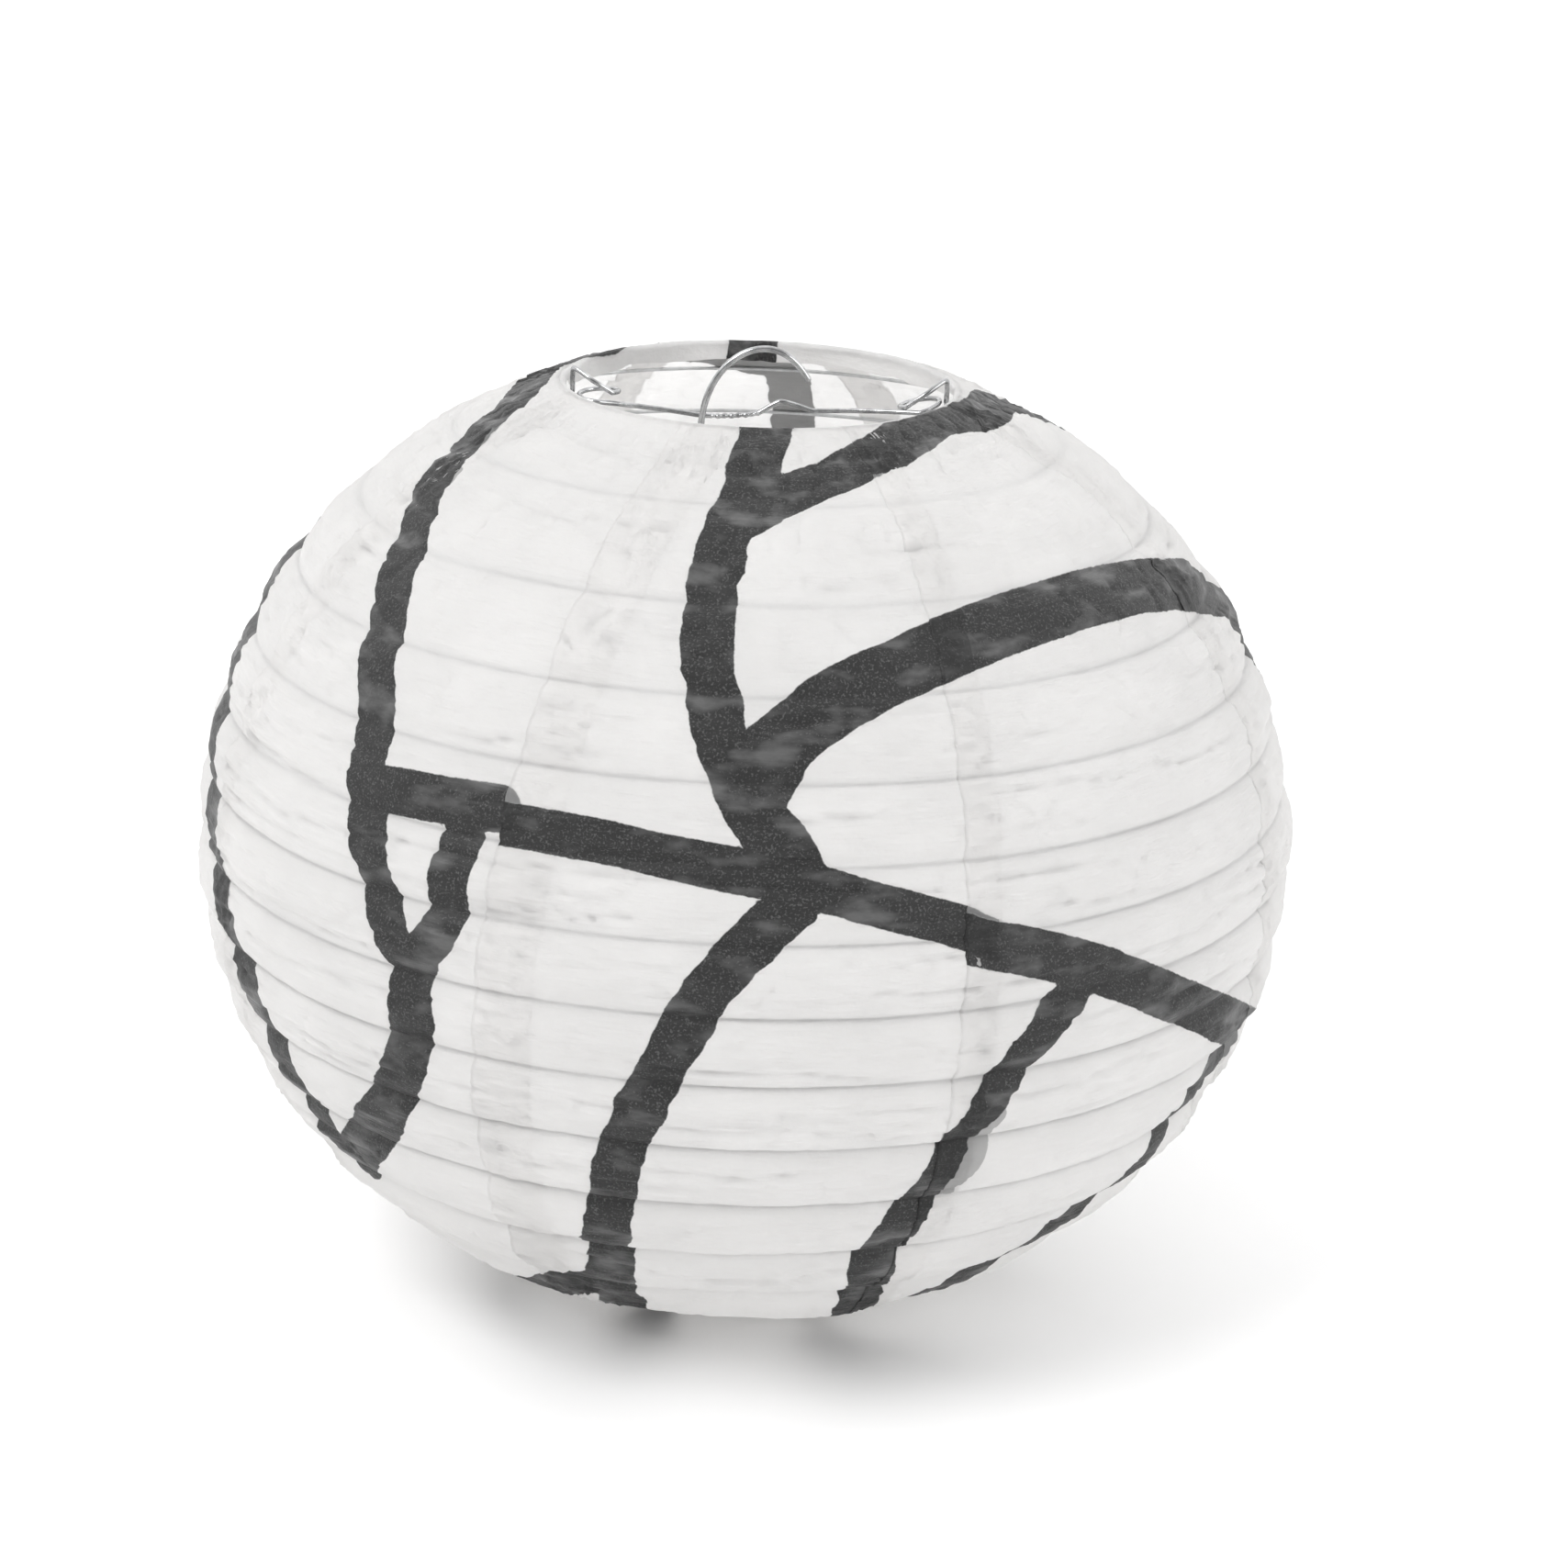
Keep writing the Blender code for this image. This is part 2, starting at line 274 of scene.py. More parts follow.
def sweep_tube(path: np.ndarray, radii: np.ndarray, sides: int) -> tuple[np.ndarray, list]:
    """Carry a circle along a path, with rounded ends.

    At each point of the path the circle lies across the path's direction. Its reference side is the last
    one, less the part of it that lies along the new direction, so that the tube doesn't twist.

    Args:
        path: Points of the centre line, one a row.
        radii: Radius at each point.
        sides: Sides of the circle.

    Returns:
        Vertices, and the faces' vertex numbers.
    """
    tangents = np.gradient(path, axis=0)
    tangents /= np.linalg.norm(tangents, axis=1, keepdims=True)
    domes = np.radians([15.0, 40.0, 65.0])      # where the rounded end's circles stand on its dome
    start = path[0] - np.outer(np.cos(domes), tangents[0]) * radii[0]
    finish = path[-1] + np.outer(np.cos(domes[::-1]), tangents[-1]) * radii[-1]
    path = np.vstack([start, path, finish])
    radii = np.concatenate([radii[0] * np.sin(domes), radii, radii[-1] * np.sin(domes[::-1])])
    extra = len(domes)
    tangents = np.vstack([np.repeat(tangents[:1], extra, 0), tangents, np.repeat(tangents[-1:], extra, 0)])
    sideways = np.empty_like(path)
    reference = np.cross(tangents[0], ASKEW)
    for number, direction in enumerate(tangents):
        reference = reference - direction * reference.dot(direction)
        reference = reference / np.linalg.norm(reference)
        sideways[number] = reference
    upward = np.cross(tangents, sideways)
    turn = (np.arange(sides) / sides * math.tau)[None, :, None]
    ring = sideways[:, None, :] * np.cos(turn) + upward[:, None, :] * np.sin(turn)
    points = path[:, None, :] + ring * radii[:, None, None]
    faces = grid_faces(len(path), sides, True)[:, ::-1].tolist()
    last = (len(path) - 1) * sides
    faces.append(list(range(sides - 1, -1, -1)))
    faces.append(list(range(last, last + sides)))
    return points.reshape(-1, 3), faces


# --- sizes from the frame

@dataclass(frozen=True)
class LanternSizes:
    """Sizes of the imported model: the end rings, the ribs and the span between the rings."""

    low_z: float
    high_z: float
    mouth_radius: float
    ring_wire: float
    rib_z: tuple[float, ...]
    rib_radius: tuple[float, ...]
    rib_wire: float
    travel: float

    @classmethod
    def read(cls) -> "LanternSizes":
        """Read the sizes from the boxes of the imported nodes."""
        low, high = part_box("lower_ring"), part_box("upper_ring")
        ribs = [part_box(name) for name in sorted(frame["nodes"]) if name.startswith("rib_")]
        joints = frame["record"]["behaviour"]["joints"]
        collapse = next(joint for joint in joints if joint["name"] == "collapse")
        rib_wire = ribs[0][1][2] - ribs[0][0][2]
        ring_wire = high[1][2] - high[0][2]
        return cls(low_z=(low[0][2] + low[1][2]) / 2, high_z=(high[0][2] + high[1][2]) / 2,
                   mouth_radius=high[1][0] - ring_wire / 2, ring_wire=ring_wire,
                   rib_z=tuple((box[0][2] + box[1][2]) / 2 for box in ribs),
                   rib_radius=tuple(box[1][0] - rib_wire / 2 for box in ribs),
                   rib_wire=rib_wire, travel=collapse["range_m"][1])

    @property
    def middle_z(self) -> float:
        """Height of the widest line."""
        return (self.low_z + self.high_z) / 2

    @property
    def span(self) -> float:
        """Height between the end rings."""
        return self.high_z - self.low_z

    def ring_height(self, end: End) -> float:
        """Height of an end ring's centre line."""
        return self.high_z if end is End.UPPER else self.low_z


# --- the print

@dataclass(frozen=True)
class Band:
    """One painted band: the gores' prints that carry it, and points along its middle.

    Each point is the angle in degrees, the height along the paper in mm, and the band's width in mm.
    """

    prints: tuple[int, ...]
    points: tuple[tuple[float, float, float], ...]

    def segments(self) -> np.ndarray:
        """Short straight pieces of the band's smooth middle line, as rows of start and end."""
        line = smooth_curve(np.array(self.points, dtype=float), 4)
        return np.hstack([line[:-1], line[1:]])


BANDS = (
    # The stem of the tall fork and its two branches to the right.
    Band((1,), ((4, 122, 9.5), (1, 105, 9), (-4, 85, 8.5), (-5.5, 68, 8.5), (-4, 52, 8.5), (0, 36, 9.5),
                (5, 25, 9.5))),
    Band((1,), ((-2, 85, 7.5), (3, 90, 8.5), (10, 95, 9), (18, 98, 9), (27, 102, 9))),
    Band((2, 3), ((19, 100, 9), (31, 103, 9.5), (42, 106, 9.5), (56, 108, 9), (75, 105, 9), (98, 102, 8.5),
                  (110, 91, 8.5))),
    Band((1,), ((1, 37, 11), (4, 45, 11), (10, 52, 11), (18, 57, 10.5), (27, 61, 10.5))),
    Band((2,), ((17, 57, 10.5), (30, 62, 11), (42, 64, 11), (54, 64, 11), (64, 62, 10.5), (74, 58, 10))),
    Band((3,), ((63, 62, 10.5), (72, 59, 10.5), (82, 53, 10), (92, 44, 8.5), (99, 28, 8), (108, 8, 8),
                (118, -13, 8))),
    # The long cross band, a little higher on the left gore.
    Band((4,), ((-42, 28, 7.5), (-36, 29, 7.8), (-25, 30, 7.6))),
    Band((1,), ((-31, 28, 7.2), (-16, 27.5, 7), (-8, 26, 7), (3, 23.5, 7.6), (10, 20.5, 7.2), (20, 15, 7),
                (29, 9, 7))),
    Band((2,), ((17, 15, 8), (30, 8, 8), (40, 1, 8), (50, -8, 8), (62, -18, 8), (74, -27, 8))),
    # Three stems under it: the middle one with its foot, the right one and the far right one.
    Band((1,), ((5, 19, 8), (-1, 9, 8), (-5, -2, 8), (-8, -13, 8), (-11, -25, 8), (-13, -40, 8),
                (-15, -58, 8.5), (-17, -78, 8.5), (-19, -104, 8.5))),
    Band((1, 4), ((-15, -63, 8), (-22, -71, 9), (-33, -82, 8), (-54, -94, 8))),
    Band((1, 2), ((36, 3, 7), (31, -4, 7), (27, -12, 6.5), (24, -20, 6), (21.5, -29, 6), (20, -38, 7),
                  (18, -47, 8), (17.5, -55, 8), (18.5, -65, 8), (20, -80, 8), (21, -96, 8))),
    Band((2,), ((72, -25, 6), (64, -27, 6), (59, -33, 6), (55, -45, 6), (48, -58, 6.5), (40, -71, 7),
                (26, -92, 7))),
    # The left stem, the pointed loop on its right and the stem that comes round from behind to meet it.
    Band((4,), ((-72, 92, 8), (-66, 85, 8), (-60, 76, 8), (-53, 64, 8.5), (-48, 51, 8.5), (-44, 39, 8.5),
                (-42, 28, 8.5), (-40, 22, 8), (-37, 11, 7.5), (-33, 0, 8))),
    Band((4,), ((-28, 29, 7.5), (-29, 18, 7.5), (-30, 8, 7.5), (-33, 0, 8), (-33, -9, 9), (-35, -19, 8.5),
                (-39, -29, 9), (-44, -38, 9), (-52, -50, 9.5))),
    Band((3, 4), ((-96, 50, 8), (-90, 38, 8), (-82, 24, 8), (-74, 12, 8), (-67, -3, 8), (-61, -16, 8),
                  (-57, -30, 8), (-54, -42, 8), (-52, -51, 9))),
)
SMUDGES = (
    # Grey patches beside the bands, where ink shows through from below.
    Band((2,), ((26, -19, 3.5), (25, -27, 4.5), (23, -36, 3.5))),
    Band((4,), ((-61, 84, 3.0), (-60, 80, 3.0))),
)


@dataclass
class PaintedBands:
    """The print on the lantern: bands that cross the gores and repeat after half a turn."""

    bands: tuple[Band, ...] = BANDS

    def distance(self, angle: np.ndarray, height: np.ndarray, radius: np.ndarray, number: int) -> np.ndarray:
        """Distance from each point of a gore to the edge of its print, negative inside a band.

        The distance to a band is the distance to the nearest point of its middle line, measured on the
        paper with the radius at the point itself, less half the band's width there.

        Args:
            angle: Angle round the lantern in radians.
            height: Height along the paper in mm.
            radius: Distance from the axis in mm.
            number: Which of the four prints the gore carries, from 1.

        Returns:
            Signed distance in mm.
        """
        rows = [band.segments() for band in self.bands if number in band.prints]
        pieces = np.vstack(rows) if rows else np.empty((0, 6))
        shape = angle.shape
        angle, height, radius = angle.ravel(), height.ravel(), radius.ravel()
        nearest = np.full(angle.size, FAR)
        for start_angle, start_height, start_width, end_angle, end_height, end_width in pieces:
            gap = (math.radians(start_angle) - angle + math.pi / 2) % math.pi - math.pi / 2
            ax, ay = gap * radius, start_height - height
            bx = ax + math.radians(end_angle - start_angle) * radius
            by = end_height - height
            dx, dy = bx - ax, by - ay
            share = np.clip(-(ax * dx + ay * dy) / np.maximum(dx * dx + dy * dy, 1e-9), 0.0, 1.0)
            reach = np.hypot(ax + share * dx, ay + share * dy)
            width = start_width + (end_width - start_width) * share
            nearest = np.minimum(nearest, reach - width / 2)
        return nearest.reshape(shape)


# --- the paper's surface

# Smooth ripples: share of the depth, cells round, cells along, seed.
RIPPLES = ((1.0, 56, 120, 31), (0.6, 130, 260, 32))
# Short wrinkles: share of the depth, lean, cells round, cells along, seed, sharpness.
WRINKLES = ((1.0, 1.4, 74, 64, 33, 7), (0.7, -2.1, 90, 90, 34, 9))
# Creases round a lobe: seed and the share from rib to rib where each one lies.
CREASES = ((21, 0.36), (22, 0.62), (23, 0.82))


@dataclass
class PaperShape:
    """The paper between the two end rings: valleys on the ribs, lobes between them, creases and crumples."""

    sizes: LanternSizes
    seat: float = 0.55 * MM             # from a rib's centre line to the paper's outer face
    lobe: float = 2.35 * MM
    lobe_unevenness: float = 0.30
    end_lobe: float = 0.35              # share of a lobe's depth next to an end ring
    taut: float = 0.25                  # share of the depth that is pulled out in the upper half
    lobe_power: float = 0.76
    crease: float = 0.85 * MM
    crease_width: float = 0.036         # as a share of the way from rib to rib
    ripple: float = 0.22 * MM
    wrinkle: float = 0.42 * MM
    crumple: float = 0.55 * MM
    hem_bend: float = 0.70 * MM         # from the end ring's centre line to the paper folded round it
    valleys: np.ndarray = field(init=False)
    chord: np.ndarray = field(init=False)
    height: np.ndarray = field(init=False)

    def __post_init__(self) -> None:
        """Place the valleys from the upper ring to the lower one and measure the way along them."""
        s = self.sizes
        edge, over = s.mouth_radius + 0.25 * MM, 0.97 * self.hem_bend
        knots = [(edge, s.high_z + over)]
        widest = max(s.rib_radius)
        half_height = s.span / 2 / math.sqrt(1 - (s.mouth_radius / widest) ** 2)
        for z, radius in sorted(zip(s.rib_z, s.rib_radius), reverse=True):
            out = Vector((radius / widest ** 2, (z - s.middle_z) / half_height ** 2)).normalized()
            knots.append((radius + self.seat * out.x, z + self.seat * out.y))
        knots.append((edge, s.low_z - over))
        self.valleys = np.array(knots)
        self.chord = np.linalg.norm(np.diff(self.valleys, axis=0), axis=1)
        way = np.concatenate([[0.0], np.cumsum(self.chord)])
        self.height = way[-1] / 2 - way

    @property
    def lobes(self) -> int:
        """Lobes between the two rings."""
        return len(self.valleys) - 1

    def place(self, row: np.ndarray) -> tuple[np.ndarray, np.ndarray, np.ndarray]:
        """The way along the valleys' chords at a row from 0, at the top, to the number of lobes.

        Args:
            row: Place along the lobes.

        Returns:
            Radius, height above the ground and height along the paper.
        """
        numbers = np.arange(len(self.valleys))
        return tuple(np.interp(row, numbers, column)
                     for column in (self.valleys[:, 0], self.valleys[:, 1], self.height))

    def surface(self, angle: np.ndarray, row: np.ndarray, seam: np.ndarray) -> tuple[np.ndarray, np.ndarray]:
        """Radius and height of the paper.

        The paper lies on the chord from one rib to the next and stands out from it by the lobe: the
        depth times an arch, which is four times the share from rib to rib times what is left of it, to
        the lobe's power. Lobes next to an end ring are flatter, and the upper half is pulled tauter.
        Creases are thin valleys that wander round each lobe and fade with e to the minus distance,
        ripples are smooth noise, and a ridged noise makes short wrinkles. Near a seam the glue crumples
        it.

        Args:
            angle: Angle round the lantern in radians.
            row: Place along the lobes, from 0 at the top.
            seam: Share from 0 to 1 of how near the point is to a glued seam.

        Returns:
            The radius and the height above the ground.
        """
        lobe = np.minimum(np.floor(row).astype(int), self.lobes - 1)
        share = np.clip(row - lobe, 0.0, 1.0)
        radius, z, along = self.place(row)
        run = 0.5 - along / (2 * self.height[0])
        arch = 4 * share * (1 - share)
        depth = self.lobe * (1 + self.lobe_unevenness * row_noise(angle, lobe, 23, 11))
        depth = depth * np.where((lobe == 0) | (lobe == self.lobes - 1), self.end_lobe, 1.0)
        depth = depth * (1 - self.taut * smoothstep(along / self.height[0], -0.3, 0.6))
        out = depth * arch ** self.lobe_power
        for seed, start in CREASES:
            line = start + 0.17 * row_noise(angle, lobe, 13, seed)
            line = line + 0.05 * row_noise(angle, lobe, 61, seed + 10)
            strength = smoothstep(row_noise(angle, lobe, 17, seed + 20), -0.15, 0.75)
            out = out - self.crease * strength * np.exp(-np.abs(share - line) / self.crease_width)
        calm = 0.25 + 0.75 * np.sqrt(arch)
        for part, cells_round, cells_along, seed in RIPPLES:
            out = out + part * self.ripple * calm * cloth_noise(angle, run, cells_round, cells_along, seed)
        for part, lean, cells_round, cells_along, seed, sharpness in WRINKLES:
            ridge = 1 - np.abs(cloth_noise(angle + lean * run, run, cells_round, cells_along, seed))
            out = out - part * self.wrinkle * calm * ridge ** sharpness
        glue = 1 - np.abs(cloth_noise(angle, run, 210, 130, 35))
        out = out + self.crumple * seam * calm * (glue ** 3 - 0.4)
        slope = np.gradient(self.valleys, axis=0)
        numbers = np.arange(len(self.valleys))
        fall = np.stack([np.interp(row, numbers, slope[:, 0]), np.interp(row, numbers, slope[:, 1])])
        fall = fall / np.linalg.norm(fall, axis=0)
        return radius - fall[1] * out, z + fall[0] * out


@dataclass(frozen=True)
class Seam:
    """The left edge of a gore where it lies on its neighbour, in degrees and mm."""

    lean: float          # how far left of its even place the edge stands at the widest line
    slant: float         # how much further right it stands at the top than at the widest line
    lap: float           # how far the neighbour reaches under it

    def edge(self, even: float, height: np.ndarray, reach: float) -> np.ndarray:
        """Angle of the edge: its even place, less the lean, and the slant in proportion to the height."""
        return even + np.radians(-self.lean + self.slant * height / reach)


SEAMS = {1: Seam(3.2, 4.4, 10.4), 2: Seam(1.0, 2.6, 6.4), 3: Seam(0.6, 2.0, 8.0), 4: Seam(1.6, -1.8, 7.4),
         5: Seam(2.4, 2.6, 8.6), 6: Seam(0.4, -2.4, 7.6), 7: Seam(1.4, 1.6, 8.2), 8: Seam(1.2, -1.0, 8.8)}


@dataclass
class Gore:
    """One paper gore with its print: the left edge lies on its neighbour, the right one under the next."""

    number: int
    shape: PaperShape
    art: PaintedBands
    columns: int = 104
    rows_per_lobe: int = 18
    paper: float = 0.09 * MM
    gap: float = 0.02 * MM
    curl: float = 0.03 * MM
    settle: float = 9.0                  # mm past the lap over which the edge comes down
    drift: tuple[float, float] = (0.55, 0.30)   # mm by which folds shift the print, broadly and finely

    @property
    def centre(self) -> float:
        """Angle of the gore's middle."""
        return (self.number - 1) * GORE_ANGLE

    @property
    def print_number(self) -> int:
        """Which of the four prints it carries."""
        return (self.number - 1) % PRINT_COUNT + 1

    def edges(self, height: np.ndarray, radius: np.ndarray) -> tuple[np.ndarray, np.ndarray]:
        """Angles of the left edge and of the right one, which reaches under the next gore by its lap."""
        reach = self.shape.height[0]
        left = SEAMS[self.number].edge(self.centre - GORE_ANGLE / 2, height, reach)
        after = SEAMS[self.number % GORE_COUNT + 1]
        right = after.edge(self.centre + GORE_ANGLE / 2, height, reach) + after.lap * MM / radius
        return left, right

    @staticmethod
    def glued(way: np.ndarray, lap: float) -> np.ndarray:
        """Share of glue: e to the minus fourth power of 1.6 laps' distance from the lap's middle."""
        return np.exp(-((way - lap / 2) / lap * 1.6) ** 4)

    def build(self, outside: bpy.types.Material,
              inside: bpy.types.Material) -> tuple[bpy.types.Object, float, float, float]:
        """Make the sheet.

        Args:
            outside: Material of the printed face.
            inside: Material of the inner face.

        Returns:
            The piece, its flat width and length, and its area.
        """
        rows = self.shape.lobes * self.rows_per_lobe + 1
        row = np.repeat(np.linspace(0, self.shape.lobes, rows)[:, None], self.columns, 1)
        share = np.repeat(np.linspace(0, 1, self.columns)[None, :], rows, 0)
        base, _, height = self.shape.place(row)
        left, right = self.edges(height, base)
        angle = left + (right - left) * share
        from_left, from_right = (angle - left) * base / MM, (right - angle) * base / MM
        own_lap, next_lap = SEAMS[self.number].lap, SEAMS[self.number % GORE_COUNT + 1].lap
        seam = np.maximum(self.glued(from_left, own_lap), self.glued(from_right, next_lap))
        radius, z = self.shape.surface(angle, row, seam)
        lift = (self.paper + self.gap) * (1 - smoothstep(from_left, own_lap + 0.5, own_lap + self.settle))
        one_row = np.zeros_like(row, int)
        waver = 0.5 + 0.5 * row_noise(np.full_like(height, self.centre) + height * 9.0, one_row, 90, 51)
        lift = lift + self.curl * waver * (1 - smoothstep(from_left, 0.0, 2.2))
        radius = radius + lift
        points = round_axis(radius, angle, z)
        faces = grid_faces(rows, self.columns, False).tolist()
        piece = add_surface(f"paper_gore_{self.number}", points.reshape(-1, 3), faces, [outside, inside])
        run = 0.5 - height / (2 * self.shape.height[0])
        shift = self.drift[0] * cloth_noise(angle, run, 24, 58, 71)
        shift = shift + self.drift[1] * cloth_noise(angle, run, 60, 130, 72)
        printed = angle + shift * MM / base
        own = self.art.distance(printed, height / MM, base / MM, self.print_number)
        neighbour = (self.print_number - 2) % PRINT_COUNT + 1
        under = self.art.distance(printed, height / MM, base / MM, neighbour)
        under = np.where(from_left < own_lap, under, FAR)
        smudge = PaintedBands(SMUDGES).distance(printed, height / MM, base / MM, self.print_number)
        add_values(piece, ink=own, under=np.minimum(under, smudge))
        add_uv(piece, angle * UV_RADIUS, height)
        add_wall(piece, self.paper, 1)
        across = np.linalg.norm(np.diff(points, axis=1), axis=-1)
        down = np.linalg.norm(np.diff(points, axis=0), axis=-1)
        width, length = across.sum(axis=1).max(), down.sum(axis=0).max()
        area = float((across[:-1] * down[:, :-1]).sum())
        return piece, float(width), float(length), area


@dataclass
class Hem:
    """The paper folded over one end ring: down the outside a little and further down the inside."""

    end: End
    shape: PaperShape
    art: PaintedBands
    outside_drop: float = 0.25 * MM
    inside_drop: float = 3.0 * MM
    nick_drop: float = 0.9 * MM          # the inner edge is shorter where a crossbar's end passes
    nick_angle: float = 7.0
    paper: float = 0.14 * MM
    columns: int = 384
    rows: int = 34

    def build(self, material: bpy.types.Material, inside: bpy.types.Material) -> bpy.types.Object:
        """Make the hem.

        Its outline goes up the outside, over the ring in a half circle and down the inside. The place
        along it is the share of the outline's whole length, and the inner edge and the crown waver.

        Args:
            material: Printed paper.
            inside: The paper's unprinted face.

        Returns:
            The piece.
        """
        sizes = self.shape.sizes
        ring_z, away = sizes.ring_height(self.end), self.end.value
        bend = self.shape.hem_bend
        angle = np.repeat(np.arange(self.columns)[None, :] / self.columns * math.tau, self.rows, 0)
        flat = np.zeros_like(angle, int)
        side = np.degrees(np.arccos(np.abs(np.sin(angle))))
        drop = 1 + 0.16 * row_noise(angle, flat, 26, 61) + 0.05 * row_noise(angle, flat, 90, 62)
        drop = self.inside_drop * drop
        clear = smoothstep(side, self.nick_angle, self.nick_angle + 5)
        drop = self.nick_drop + (drop - self.nick_drop) * clear
        whole = self.outside_drop + math.pi * bend + drop
        way = np.repeat(np.linspace(0, 1, self.rows)[:, None], self.columns, 1) * whole
        turn = np.clip((way - self.outside_drop) / bend, 0.0, math.pi)
        inside_way = np.maximum(way - self.outside_drop - math.pi * bend, 0.0)
        below = np.maximum(self.outside_drop - way, 0.0) + inside_way
        waver = 0.10 * MM * row_noise(angle, flat, 70, 63) + 0.08 * MM * row_noise(angle, flat, 160, 64)
        radius = sizes.mouth_radius + bend * np.cos(turn) + waver * np.sin(turn / 2)
        radius = radius + inside_way * (0.16 * row_noise(angle, flat, 40, 65) + 0.05)
        z = ring_z + away * (bend * np.sin(turn) - below + 0.5 * waver * np.sin(turn / 2) ** 2)
        points = round_axis(radius, angle, z)
        faces = grid_faces(self.rows, self.columns, True)
        faces = faces if self.end is End.LOWER else faces[:, ::-1]
        name = f"{self.end.label}_paper_hem"
        piece = add_surface(name, points.reshape(-1, 3), faces.tolist(), [material, inside])
        height = away * (self.shape.height[0] + way)
        add_values(piece, ink=self.ink(angle, height), under=np.full_like(angle, FAR))
        add_uv(piece, angle * UV_RADIUS, height)
        add_wall(piece, self.paper, 1)
        return piece

    def ink(self, angle: np.ndarray, height: np.ndarray) -> np.ndarray:
        """Distance to the print on the hem: each part shows the print of the gore that it belongs to.

        Args:
            angle: Angle round the lantern in radians.
            height: Height along the paper in metres.

        Returns:
            Signed distance in mm.
        """
        radius = np.full_like(angle, self.shape.sizes.mouth_radius / MM)
        gore = np.floor((angle + GORE_ANGLE / 2) / GORE_ANGLE).astype(int) % PRINT_COUNT + 1
        ends = [self.art.distance(angle, height / MM, radius, number) for number in range(1, PRINT_COUNT + 1)]
        return np.choose(gore - 1, ends)


# --- wires

@dataclass
class WireHoop:
    """A hoop of drawn wire round the lantern: an end ring or a rib."""

    name: str
    radius: float
    height: float
    wire: float
    waver: float = 0.12 * MM
    columns: int = 256
    sides: int = 10

    def build(self, material: bpy.types.Material) -> bpy.types.Object:
        """Turn a small circle round the axis, with its centre rising and falling a hair.

        Args:
            material: The wire's finish.

        Returns:
            The hoop.
        """
        angle = np.arange(self.columns) / self.columns * math.tau
        turn = np.arange(self.sides) / self.sides * math.tau
        angle, turn = np.meshgrid(angle, turn, indexing="ij")
        seed = sum(ord(letter) for letter in self.name)
        waver = self.waver * row_noise(angle, np.zeros_like(angle, int), 15, seed)
        radius = self.radius + self.wire / 2 * np.cos(turn)
        z = self.height + self.wire / 2 * np.sin(turn) + waver
        points = np.stack([radius * np.cos(angle), radius * np.sin(angle), z], axis=-1)
        closed = grid_faces(self.columns + 1, self.sides, True) % (self.columns * self.sides)
        return add_surface(self.name, points.reshape(-1, 3), closed[:, ::-1].tolist(), [material])


